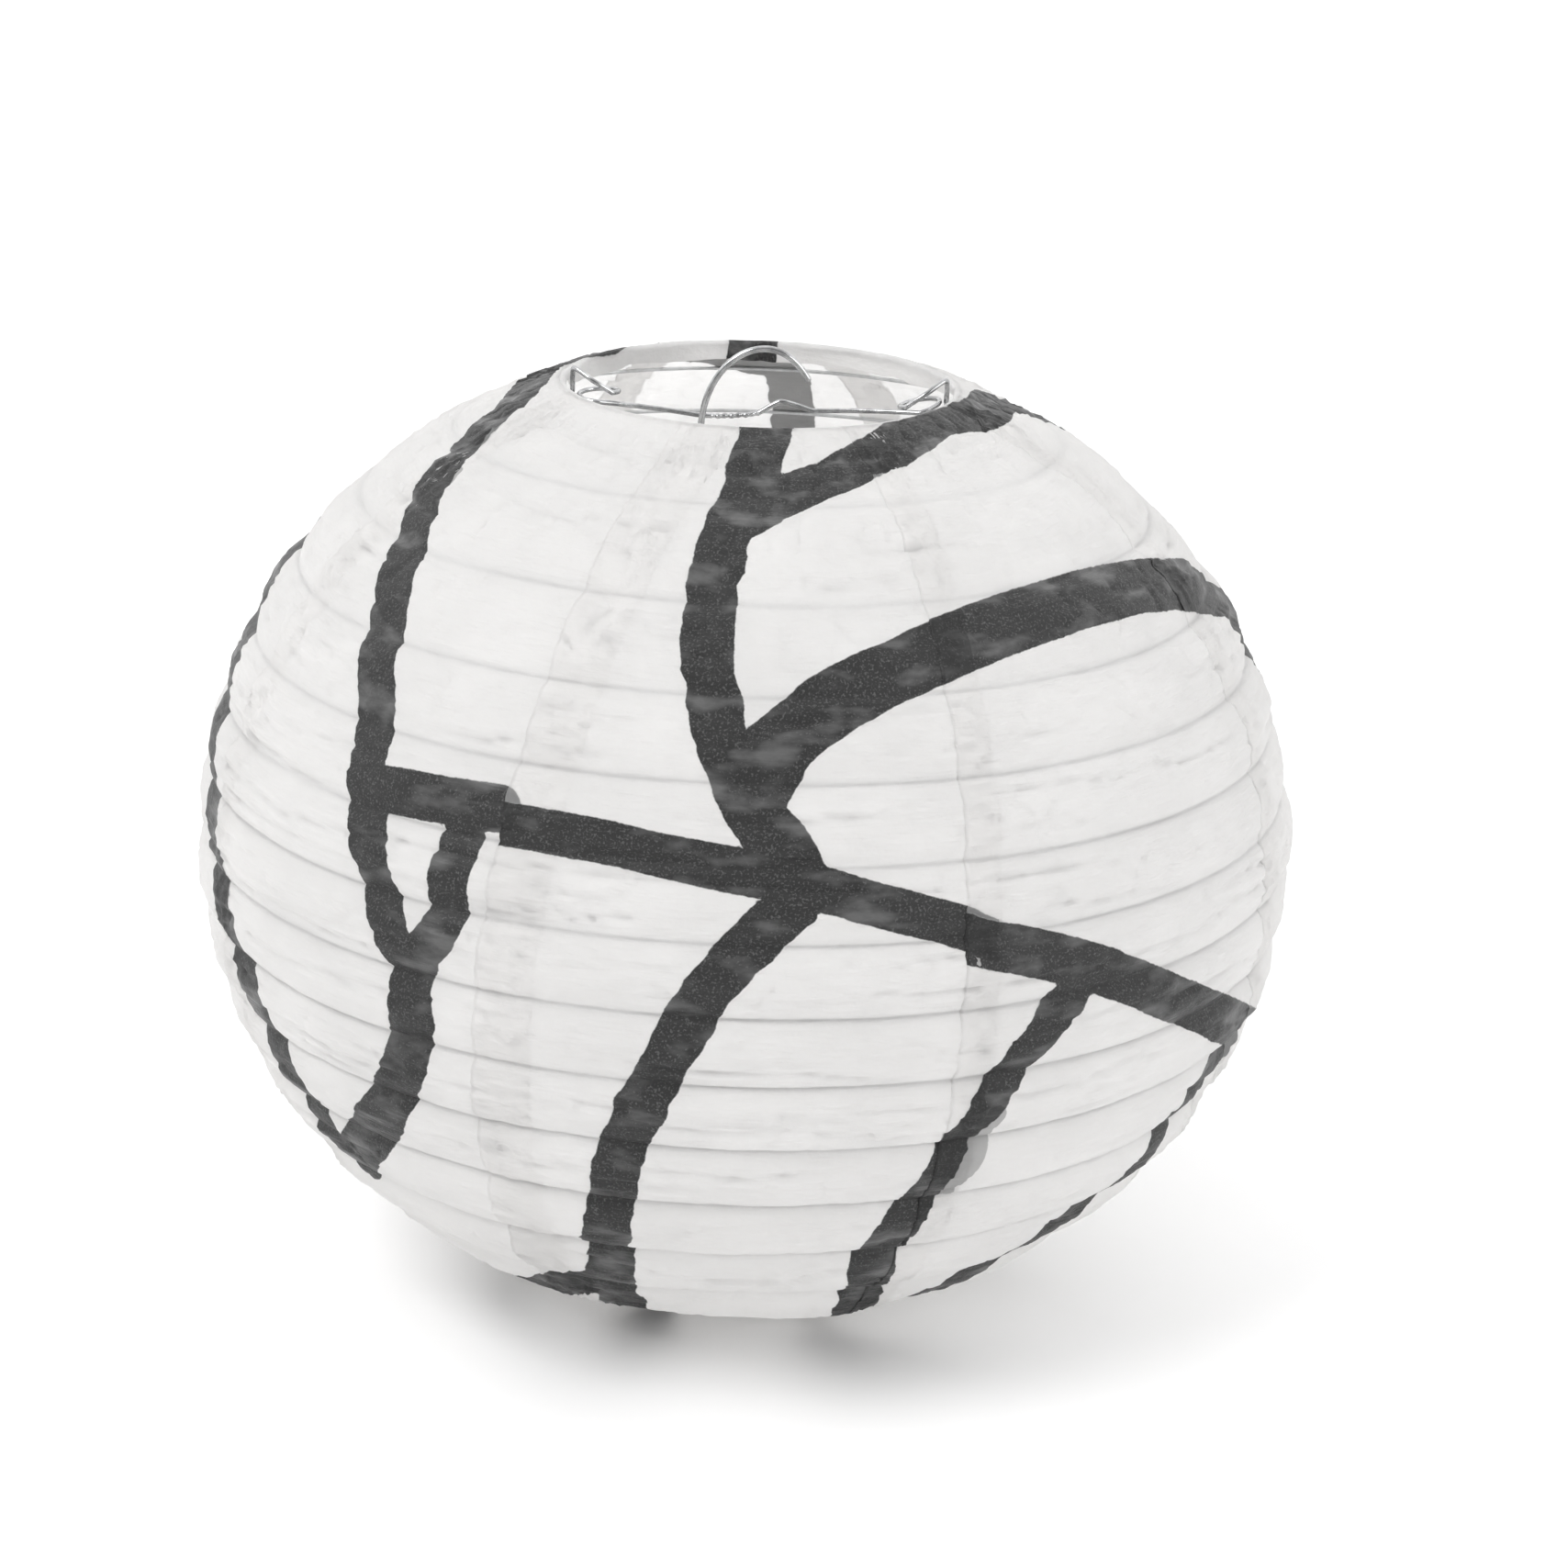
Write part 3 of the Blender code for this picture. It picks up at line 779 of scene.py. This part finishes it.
@dataclass
class Expander:
    """The wire expander: a hook wire with a bow, and two crossbars with spring loops at their ends."""

    sizes: LanternSizes
    hook_wire: float = 1.2 * MM
    arm_wire: float = 0.9 * MM
    fit: float = 0.3 * MM
    hem_half: float = 1.1 * MM
    hook_rise: float = 7.0 * MM
    crown_x: float = 1.0 * MM
    bow_half_width: float = 11.2 * MM
    stem_side_height: float = 15.0 * MM
    free_side_height: float = 20.0 * MM
    bow_end: float = 48.0
    bar_drop: float = 5.7 * MM
    crimp_start: float = -8.8 * MM
    crimp_length: float = 8.6 * MM
    crimp_climb: float = 0.7 * MM
    crimp_waves: float = 3.5
    crimp_depth: float = 0.2 * MM
    bump_length: float = 9.8 * MM
    bump_drop: float = 2.8 * MM
    bump_end_drop: float = 4.2 * MM
    arm_drop: float = 3.1 * MM
    loop_radius: float = 3.5 * MM
    loop_turn: float = 315.0
    right_slope: float = 0.30
    catch_rise: float = 2.2 * MM
    catch_reach: float = 2.5 * MM
    pinch: float = 0.16                 # how far the crimping tool thins the wire, as a share
    foot_points: int = 15
    stem_points: int = 30
    bow_points: int = 64
    crimp_points: int = 57
    loop_points: int = 61

    @property
    def stem_x(self) -> float:
        """Where the stem stands."""
        return self.crown_x - self.bow_half_width

    @property
    def stem_y(self) -> float:
        """The stem's centre line in front of the crossbars."""
        return -((self.hook_wire + self.arm_wire) / 2 + self.fit)

    @property
    def catch_x(self) -> float:
        """The catch's centre line inside the hem."""
        return self.sizes.mouth_radius - self.hem_half - self.fit - self.arm_wire / 2

    @property
    def loop_x(self) -> float:
        """Centre of a spring loop."""
        return self.catch_x - self.arm_wire - self.fit - self.loop_radius

    def stem(self) -> np.ndarray:
        """Centre line of the hook wire: foot hook, straight stem, and a bow of two quarter ovals."""
        step = -self.stem_y
        foot_z, crown_z = self.sizes.low_z + self.bar_drop, self.sizes.high_z + self.hook_rise
        lead = np.array([[self.stem_x, step, foot_z + step]])
        turn = np.linspace(0.0, math.pi, self.foot_points)
        here = np.full_like(turn, self.stem_x)
        foot = np.stack([here, step * np.cos(turn), foot_z - step * np.sin(turn)], -1)
        z = np.linspace(foot_z, crown_z - self.stem_side_height, self.stem_points)[1:-1]
        straight = np.stack([np.full_like(z, self.stem_x), np.full_like(z, -step), z], -1)
        turn = np.linspace(math.pi, math.radians(self.bow_end), self.bow_points)
        rise = np.where(np.cos(turn) < 0.0, self.stem_side_height, self.free_side_height)
        bow = np.stack([self.crown_x + self.bow_half_width * np.cos(turn), np.full_like(turn, -step),
                        crown_z - rise * (1 - np.sin(turn))], -1)
        return np.vstack([lead, foot, straight, bow])

    def middle(self, ring_z: float, inward: int) -> np.ndarray:
        """A crossbar's middle from the stem: small sine waves of crimp, then a low bump.

        Args:
            ring_z: Height of the end ring.
            inward: Sign of the direction from the ring into the lantern.

        Returns:
            Points of the centre line.
        """
        level = ring_z + inward * self.bar_drop
        share = np.linspace(0.0, 1.0, self.crimp_points)
        crimp = np.stack([self.crimp_start + self.crimp_length * share,
                          self.crimp_depth * np.sin(math.tau * self.crimp_waves * share),
                          level - inward * self.crimp_climb * share ** 2], -1)
        x, top = crimp[-1, 0], ring_z + inward * self.bump_drop
        after = ring_z + inward * self.bump_end_drop
        bends = np.array([crimp[-1], (x + 0.32 * self.bump_length, 0.0, top + 0.2 * (after - top)),
                          (x + 0.5 * self.bump_length, 0.0, top), (x + self.bump_length, 0.0, after)])
        return np.vstack([crimp, smooth_curve(bends, 9)[1:]])

    def arm(self, side: int, start: np.ndarray, end: End) -> np.ndarray:
        """An arm from its start near the middle, round its spring loop, to its end at the ring.

        The run's sideways offset grows with the square of the share, and the loop is a circle that climbs
        as it turns, by a wire and two gaps in all.

        Args:
            side: Sign of the side, 1 for the right.
            start: Where the arm begins.
            end: Which mouth it spans.

        Returns:
            Points of the centre line.
        """
        inward, ring_z, r = -end.value, self.sizes.ring_height(end), self.loop_radius
        loop_z = ring_z + inward * self.arm_drop
        reach = self.loop_x - abs(start[0])
        share = np.array([0.35, 0.75])
        run = np.stack([side * (abs(start[0]) + reach * share), -r * share ** 2,
                        start[2] + (loop_z - start[2]) * share], -1)
        turn = np.radians(np.linspace(-90.0, self.loop_turn - 90.0, self.loop_points))
        climb = (self.arm_wire + 2 * self.fit) * np.linspace(0, 1, self.loop_points)
        slope = self.right_slope if side > 0 else 0.0
        loop = np.stack([side * (self.loop_x + r * np.cos(turn)), r * np.sin(turn),
                         loop_z - inward * (climb + slope * r * np.cos(turn))], -1)
        bends = (self.catch if end is End.UPPER else self.foot)(ring_z, loop[-1, 2])
        bends = np.vstack([loop[-1], bends * (side, 1.0, 1.0)])
        lead = smooth_curve(np.vstack([start, run, loop[0]]), 9)
        return np.vstack([lead[:-1], loop, smooth_curve(bends, 8)[1:]])

    def catch(self, ring_z: float, leave_z: float) -> np.ndarray:
        """Bends of an upper catch: up from the loop, over its crest, down inside the hem and under it.

        Args:
            ring_z: Height of the end ring.
            leave_z: Height at which the wire leaves the loop.

        Returns:
            The bends of the right catch.
        """
        clear, wire = self.hem_half + self.fit + self.arm_wire / 2, self.arm_wire
        crest, under = ring_z + self.catch_rise, ring_z - clear - self.fit
        return np.array([
            (self.loop_x + 0.25 * self.loop_radius, -0.80 * self.loop_radius,
             leave_z + 0.55 * (crest - leave_z)),
            (self.catch_x - 0.5 * wire, -0.2 * self.loop_radius, crest),
            (self.catch_x, 0.0, ring_z + 0.4 * self.catch_rise),
            (self.catch_x, 0.0, ring_z - 0.5 * clear),
            (self.catch_x + 0.2 * wire, 0.0, under - 0.2 * wire),
            (self.sizes.mouth_radius, 0.0, under - 0.4 * wire),
            (self.sizes.mouth_radius + self.catch_reach, 0.0, under - 0.5 * wire)])

    def foot(self, ring_z: float, leave_z: float) -> np.ndarray:
        """Bends of a lower arm's end: straight out over the lower hem.

        Args:
            ring_z: Height of the end ring.
            leave_z: Height at which the wire leaves the loop.

        Returns:
            The bends of the right end.
        """
        over, wire = ring_z + self.hem_half + self.fit + self.arm_wire / 2, self.arm_wire
        mouth, side_y = self.sizes.mouth_radius, -0.2 * self.loop_radius
        return np.array([
            (self.loop_x + self.loop_radius, -0.8 * self.loop_radius, (leave_z + over) / 2),
            (mouth - self.hem_half, -0.3 * self.loop_radius, over + 0.2 * wire),
            (mouth + self.hem_half, side_y, over + 0.2 * wire),
            (mouth + self.catch_reach, side_y, over + 0.4 * wire)])

    def crossbar(self, end: End) -> tuple[np.ndarray, np.ndarray]:
        """Centre line and radii of a crossbar, from its left end to its right one.

        Args:
            end: Which mouth it spans.

        Returns:
            Points of the centre line, and the wire's radius at each.
        """
        ring_z, inward = self.sizes.ring_height(end), -end.value
        middle = self.middle(ring_z, inward)
        left = self.arm(-1, np.array([self.stem_x, 0.0, ring_z + inward * self.bar_drop]), end)
        right = self.arm(1, middle[-1], end)
        path = np.vstack([left[::-1], middle, right[1:]])
        share = np.clip((path[:, 0] - self.crimp_start) / self.crimp_length, 0.0, 1.0)
        inside = (np.abs(share - 0.5) < 0.5) & (np.abs(path[:, 1]) < self.loop_radius / 2)
        pinch = np.where(inside, self.pinch * np.sin(2 * math.tau * self.crimp_waves * share) - 0.05, 0.0)
        return path, self.arm_wire / 2 * (1 + pinch)

    def build(self, material: bpy.types.Material) -> list[tuple[bpy.types.Object, str]]:
        """Make the hook wire and the two crossbars.

        Args:
            material: Their finish.

        Returns:
            Each piece with the CAD node that it stands for.
        """
        stem = self.stem()
        points, faces = sweep_tube(stem, np.full(len(stem), self.hook_wire / 2), 20)
        made = [(add_surface("hook_wire", points, faces, [material]), "hook_stem")]
        for end in End:
            path, radii = self.crossbar(end)
            points, faces = sweep_tube(path, radii, 16)
            bar = add_surface(f"{end.label}_bar_wire", points, faces, [material])
            made.append((bar, f"{end.label}_crossbar"))
        return made


# --- finishes

class NodeSheet:
    """A node tree with short ways to add nodes and links."""

    def __init__(self, tree: bpy.types.NodeTree) -> None:
        """Keep the tree."""
        self.tree = tree

    def add(self, kind: str, inputs: dict | None = None, **settings: object) -> bpy.types.Node:
        """Add a node.

        Args:
            kind: The node's type name, without the leading ShaderNode.
            inputs: Values or sockets for its inputs, by name or number.
            settings: Properties to set on the node.

        Returns:
            The node.
        """
        node = self.tree.nodes.new("ShaderNode" + kind)
        for key, value in settings.items():
            setattr(node, key, value)
        for key, value in (inputs or {}).items():
            if isinstance(value, bpy.types.NodeSocket):
                self.tree.links.new(value, node.inputs[key])
            else:
                node.inputs[key].default_value = value
        return node

    def link(self, start: bpy.types.NodeSocket, end: bpy.types.NodeSocket) -> None:
        """Join an output to an input."""
        self.tree.links.new(start, end)

    def math(self, operation: str, a: object, b: object = 0.0) -> bpy.types.NodeSocket:
        """One step of arithmetic on two values or sockets."""
        return self.add("Math", {0: a, 1: b}, operation=operation).outputs[0]

    def around_nought(self, value: object, scale: float) -> bpy.types.NodeSocket:
        """A noise's value less a half, times a scale."""
        return self.math("MULTIPLY", self.math("SUBTRACT", value, 0.5), scale)

    def spread(self, value: object, low: float, high: float, to_low: float,
               to_high: float) -> bpy.types.NodeSocket:
        """Map a range of values onto another, held at its ends."""
        inputs = {"Value": value, "From Min": low, "From Max": high, "To Min": to_low, "To Max": to_high}
        return self.add("MapRange", inputs, clamp=True).outputs["Result"]

    def blend(self, share: object, a: object, b: object) -> bpy.types.NodeSocket:
        """Mix two colours by a share: the Mix node's colour sockets are 6, 7 and 2."""
        return self.add("Mix", {0: share, 6: a, 7: b}, data_type="RGBA").outputs[2]

    def noise(self, vector: bpy.types.NodeSocket, scale: float, detail: float = 2.0,
              stretch: tuple[float, float, float] = (1.0, 1.0, 1.0)) -> bpy.types.NodeSocket:
        """Noise on coordinates that are first stretched."""
        mapped = self.add("Mapping", {"Vector": vector, "Scale": stretch}).outputs[0]
        return self.add("TexNoise", {"Vector": mapped, "Scale": scale, "Detail": detail}).outputs["Fac"]


def grey(value: float, warmth: float = 0.0) -> tuple[float, float, float, float]:
    """A grey as a colour, a little warm where warmth is above nought."""
    return (value * (1 + warmth), value, value * (1 - warmth), 1.0)


def new_material(name: str) -> tuple[bpy.types.Material, NodeSheet, bpy.types.Node]:
    """Make a material, with the sheet of its nodes and its shader."""
    material = bpy.data.materials.new(name)
    material.use_nodes = True
    return material, NodeSheet(material.node_tree), material.node_tree.nodes["Principled BSDF"]


def new_group(name: str, inputs: dict[str, str],
              outputs: tuple[str, ...]) -> tuple[NodeSheet, bpy.types.Node, bpy.types.Node]:
    """Start a node group.

    Args:
        name: The group's name.
        inputs: The kind of each input, by name.
        outputs: Names of the outputs, which are plain values.

    Returns:
        The sheet of its nodes, and the nodes for its inputs and its outputs.
    """
    group = bpy.data.node_groups.new(name, "ShaderNodeTree")
    for socket, kind in inputs.items():
        group.interface.new_socket(socket, in_out="INPUT", socket_type="NodeSocket" + kind)
    for socket in outputs:
        group.interface.new_socket(socket, in_out="OUTPUT", socket_type="NodeSocketFloat")
    return NodeSheet(group), group.nodes.new("NodeGroupInput"), group.nodes.new("NodeGroupOutput")


def paper_grain_group() -> bpy.types.NodeTree:
    """Node group: fibres and fine creases of thin paper, as a height and a tone from 0 to 1."""
    inputs = {"Paper": "Vector", "Solid": "Vector"}
    sheet, source, target = new_group("paper_grain", inputs, ("Height", "Tone"))
    creases = sheet.noise(source.outputs["Paper"], 60.0, 4.0, (1.0, 9.0, 1.0))
    ridge = sheet.math("ABSOLUTE", sheet.math("SUBTRACT", creases, 0.5))
    fibres = sheet.noise(source.outputs["Solid"], 1400.0, 3.0)
    height = sheet.math("ADD", sheet.math("MULTIPLY", ridge, -1.6), sheet.math("MULTIPLY", fibres, 0.22))
    clouds = sheet.noise(source.outputs["Solid"], 55.0, 4.0)
    sheet.link(height, target.inputs["Height"])
    sheet.link(clouds, target.inputs["Tone"])
    return sheet.tree


def print_edge_group() -> bpy.types.NodeTree:
    """Node group: the share of ink from the distance to a band's edge, a little ragged."""
    sheet, source, target = new_group("print_edge", {"Distance": "Float", "Solid": "Vector"}, ("Ink",))
    rag = sheet.around_nought(sheet.noise(source.outputs["Solid"], 900.0, 2.0), 0.35)
    slow = sheet.around_nought(sheet.noise(source.outputs["Solid"], 140.0, 1.0), 0.5)
    edge = sheet.math("ADD", source.outputs["Distance"], sheet.math("ADD", rag, slow))
    sheet.link(sheet.spread(edge, -0.09, 0.09, 1.0, 0.0), target.inputs["Ink"])
    return sheet.tree


@dataclass(frozen=True)
class PrintedPaper:
    """Thin white paper with black printed bands, seen from its printed side or from inside."""

    side: PaperSide
    white: float = 0.94
    shade: float = 0.91
    ink: float = 0.026
    # lighter ink: worn specks, and a painted sheen in streaky patches where creased ink would shine
    worn_ink: float = 0.13
    through: float = 0.46            # ink seen through the paper from inside
    under: float = 0.55              # the neighbour's ink seen through the paper that lies on it
    glow: float = 0.76               # share of light that passes through the paper
    ink_glow: float = 0.06           # the same through the ink, on the printed side
    inner_ink_glow: float = 0.22     # and on the inner side

    def make(self, grain: bpy.types.NodeTree, edge: bpy.types.NodeTree) -> bpy.types.Material:
        """Build the material.

        Args:
            grain: The group for the paper's grain.
            edge: The group for the print's edge.

        Returns:
            The material.
        """
        material, sheet, shader = new_material(f"printed_paper_{self.side.value}")
        output = sheet.tree.nodes["Material Output"]
        solid = sheet.add("TexCoord").outputs["Object"]
        paper = sheet.add("UVMap", uv_map="paper").outputs["UV"]
        grained = sheet.add("Group", {"Paper": paper, "Solid": solid}, node_tree=grain)
        own = sheet.add("Attribute", attribute_name="ink").outputs["Fac"]
        inked = sheet.add("Group", {"Distance": own, "Solid": solid}, node_tree=edge).outputs["Ink"]
        tone = sheet.spread(grained.outputs["Tone"], 0.3, 0.7, 0.0, 1.0)
        blank = sheet.blend(tone, grey(self.shade, 0.004), grey(self.white, 0.004))
        patches = sheet.spread(sheet.noise(paper, 70.0, 6.0, (1.0, 2.6, 1.0)), 0.51, 0.66, 0.0, 1.0)
        if self.side is PaperSide.OUTSIDE:
            below = sheet.add("Attribute", attribute_name="under").outputs["Fac"]
            beneath = sheet.add("Group", {"Distance": below, "Solid": solid}, node_tree=edge).outputs["Ink"]
            blank = sheet.blend(beneath, blank, grey(self.under))
            # The ink is lighter at worn specks and, in streaky patches, by a painted sheen where creased ink
            # would shine.
            specks = sheet.spread(sheet.noise(solid, 2600.0, 1.0), 0.54, 0.74, 0.0, 0.60)
            lit = sheet.math("MAXIMUM", sheet.math("MULTIPLY", patches, 0.75), specks)
            black = sheet.blend(lit, grey(self.ink), grey(self.worn_ink))
            black = sheet.blend(sheet.math("MULTIPLY", beneath, 0.5), black, grey(self.ink * 0.55))
        else:
            black = sheet.blend(tone, grey(self.through * 0.86), grey(self.through * 1.1))
        colour = sheet.blend(inked, blank, black)
        sheet.link(colour, shader.inputs["Base Color"])
        dull = sheet.math("SUBTRACT", 0.72, sheet.math("MULTIPLY", inked, 0.26))
        rough = sheet.math("SUBTRACT", dull, sheet.math("MULTIPLY", patches, 0.12))
        sheet.link(rough, shader.inputs["Roughness"])
        shader.inputs["Specular IOR Level"].default_value = 0.24
        bump = sheet.add("Bump", {"Height": grained.outputs["Height"], "Strength": 0.75, "Distance": 0.0004})
        sheet.link(bump.outputs["Normal"], shader.inputs["Normal"])
        passing = sheet.add("BsdfTranslucent", {"Color": colour, "Normal": bump.outputs["Normal"]})
        ink_glow = self.ink_glow if self.side is PaperSide.OUTSIDE else self.inner_ink_glow
        share = sheet.spread(inked, 0.0, 1.0, self.glow, ink_glow)
        mixed = sheet.add("MixShader", {0: share, 1: shader.outputs[0], 2: passing.outputs[0]})
        sheet.link(mixed.outputs[0], output.inputs["Surface"])
        return material


@dataclass(frozen=True)
class DrawnWire:
    """Galvanised or dull drawn steel wire: zinc bloom and small pits."""

    name: str
    bright: float
    dark: float
    roughness: float
    spots: float

    def make(self) -> bpy.types.Material:
        """Build the material."""
        material, sheet, shader = new_material(self.name)
        solid = sheet.add("TexCoord").outputs["Object"]
        bloom = sheet.spread(sheet.noise(solid, 420.0, 4.0), 0.38, 0.64, 0.0, 1.0)
        colour = sheet.blend(bloom, grey(self.dark, -0.01), grey(self.bright, -0.01))
        sheet.link(colour, shader.inputs["Base Color"])
        pits = sheet.noise(solid, 2600.0, 3.0)
        rough = sheet.math("ADD", self.roughness, sheet.around_nought(pits, self.spots))
        sheet.link(rough, shader.inputs["Roughness"])
        shader.inputs["Metallic"].default_value = 1.0
        bump = sheet.add("Bump", {"Height": pits, "Strength": 0.25, "Distance": 0.00005})
        sheet.link(bump.outputs["Normal"], shader.inputs["Normal"])
        return material


# --- studio

# Lamps: name, place, power in watts and size in metres.
LAMPS = (("key", (-0.9, -0.8, 1.3), 14.0, 0.8), ("fill", (1.2, -0.9, 0.7), 7.0, 1.0))


@dataclass
class Studio:
    """A pale floor, soft light and the camera."""

    sizes: LanternSizes
    elevation: float = 19.0
    distance: float = 0.72
    roll: float = 2.0
    focal_share: float = 2.493     # focal length as a share of the sensor's width
    shift: tuple[float, float] = (0.0252, 0.0235)
    floor_half: float = 12.0
    floor_tone: float = 0.93
    floor_roughness: float = 0.9
    sensor: float = 36.0
    viewer_side: float = 0.42      # the room's strength on the viewer's side
    far_side: float = 1.36

    def camera(self) -> None:
        """Aim the camera at the lantern's middle from the front and above."""
        centre = Vector((0.0, 0.0, self.sizes.middle_z))
        tilt = math.radians(self.elevation)
        place = centre + self.distance * Vector((0.0, -math.cos(tilt), math.sin(tilt)))
        data = bpy.data.cameras.new("camera")
        camera = add_object("camera", data)
        camera.location = place
        aim = (centre - place).to_track_quat("-Z", "Y")
        camera.rotation_mode = "QUATERNION"
        camera.rotation_quaternion = aim @ Matrix.Rotation(math.radians(self.roll), 3, "Z").to_quaternion()
        data.sensor_width = self.sensor
        data.lens = self.focal_share * data.sensor_width
        data.shift_x, data.shift_y = self.shift
        bpy.context.scene.camera = camera

    def floor(self) -> None:
        """Lay a wide pale floor under the lantern."""
        side = self.floor_half
        corners = np.array([(-side, -side, 0.0), (side, -side, 0.0), (side, side, 0.0), (-side, side, 0.0)])
        material, _, shader = new_material("pale_floor")
        shader.inputs["Base Color"].default_value = grey(self.floor_tone)
        shader.inputs["Roughness"].default_value = self.floor_roughness
        add_surface("floor", corners, [(0, 1, 2, 3)], [material])

    def light(self) -> None:
        """Light the lantern from all round, with a soft lamp above its left and a weak one at its right."""
        centre = Vector((0.0, 0.0, self.sizes.middle_z))
        for name, place, power, size in LAMPS:
            lamp = bpy.data.lights.new(name, "AREA")
            lamp.energy, lamp.size = power, size
            holder = add_object(name, lamp)
            holder.location = place
            holder.rotation_euler = (centre - Vector(place)).to_track_quat("-Z", "Y").to_euler()
        self.surroundings()

    def surroundings(self) -> None:
        """A white room that is dimmer on the viewer's side, and plain white where the camera looks."""
        world = bpy.data.worlds.new("studio")
        bpy.context.scene.world = world
        world.use_nodes = True
        sheet = NodeSheet(world.node_tree)
        output = world.node_tree.nodes["World Output"]
        around = world.node_tree.nodes["Background"]
        direction = sheet.add("TexCoord").outputs["Generated"]
        parts = sheet.add("SeparateXYZ", {0: direction})
        front = sheet.spread(parts.outputs["Y"], -0.75, 0.0, self.viewer_side, self.far_side)
        sheet.link(front, around.inputs["Strength"])
        around.inputs["Color"].default_value = WHITE
        seen = sheet.add("Background", {"Color": WHITE, "Strength": 1.0})
        ray = sheet.add("LightPath").outputs["Is Camera Ray"]
        mixed = sheet.add("MixShader", {0: ray, 1: around.outputs[0], 2: seen.outputs[0]})
        sheet.link(mixed.outputs[0], output.inputs["Surface"])

    def build(self) -> None:
        """Set up the camera, the floor, the lamps and plain colours."""
        self.camera()
        self.floor()
        self.light()
        bpy.context.scene.view_settings.view_transform = "Standard"


# --- the lantern

@dataclass
class PaperLantern:
    """The whole lantern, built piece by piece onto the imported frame."""

    sizes: LanternSizes

    def build_paper(self) -> None:
        """Build the eight gores and the two hems."""
        grain, edge = paper_grain_group(), print_edge_group()
        outside = PrintedPaper(PaperSide.OUTSIDE).make(grain, edge)
        inside = PrintedPaper(PaperSide.INSIDE).make(grain, edge)
        shape, art = PaperShape(self.sizes), PaintedBands()
        for number in range(1, GORE_COUNT + 1):
            piece, width, length, area = Gore(number, shape, art).build(outside, inside)
            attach(piece, "base")
            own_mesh(piece)
            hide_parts(f"gore_{number}")
            log.info("%s: %.0f x %.0f mm flat, %.0f cm2", piece.name, width / MM, length / MM, area * 1e4)
        for end, body in ((End.UPPER, "crown"), (End.LOWER, "base")):
            piece = Hem(end, shape, art).build(outside, inside)
            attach(piece, body)
            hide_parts(f"{end.label}_hem")
            log.info("%s on %s", piece.name, body)

    def build_wires(self) -> None:
        """Build the end rings, the ribs and the expander."""
        bright = DrawnWire("bright_galvanised_wire", 0.56, 0.32, 0.14, 0.12).make()
        dull = DrawnWire("dull_rib_wire", 0.74, 0.60, 0.42, 0.20).make()
        s = self.sizes
        hoops = [("lower_ring", s.mouth_radius, s.low_z, s.ring_wire, "base", "ring_wire"),
                 ("upper_ring", s.mouth_radius, s.high_z, s.ring_wire, "crown", "ring_wire")]
        for number, (radius, z) in enumerate(zip(s.rib_radius, s.rib_z), start=1):
            hoops.append((f"rib_{number:02d}", radius, z, s.rib_wire, f"rib_{number:02d}", "rib_wire"))
        for node, radius, z, wire, body, slot in hoops:
            piece = WireHoop(f"{node}_wire", radius, z, wire).build(dull)
            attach(piece, body)
            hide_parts(node)
            log.info("%s on %s", piece.name, body)
        for piece, node in Expander(s).build(bright):
            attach(piece, "expander")
            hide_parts(node)
            log.info("%s on expander", piece.name)


def main() -> None:
    """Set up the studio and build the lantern."""
    logging.basicConfig(level=logging.INFO, format="%(name)s: %(message)s")
    sizes = LanternSizes.read()
    Studio(sizes).build()
    lantern = PaperLantern(sizes)
    lantern.build_paper()
    lantern.build_wires()


if __name__ == "__main__":
    main()
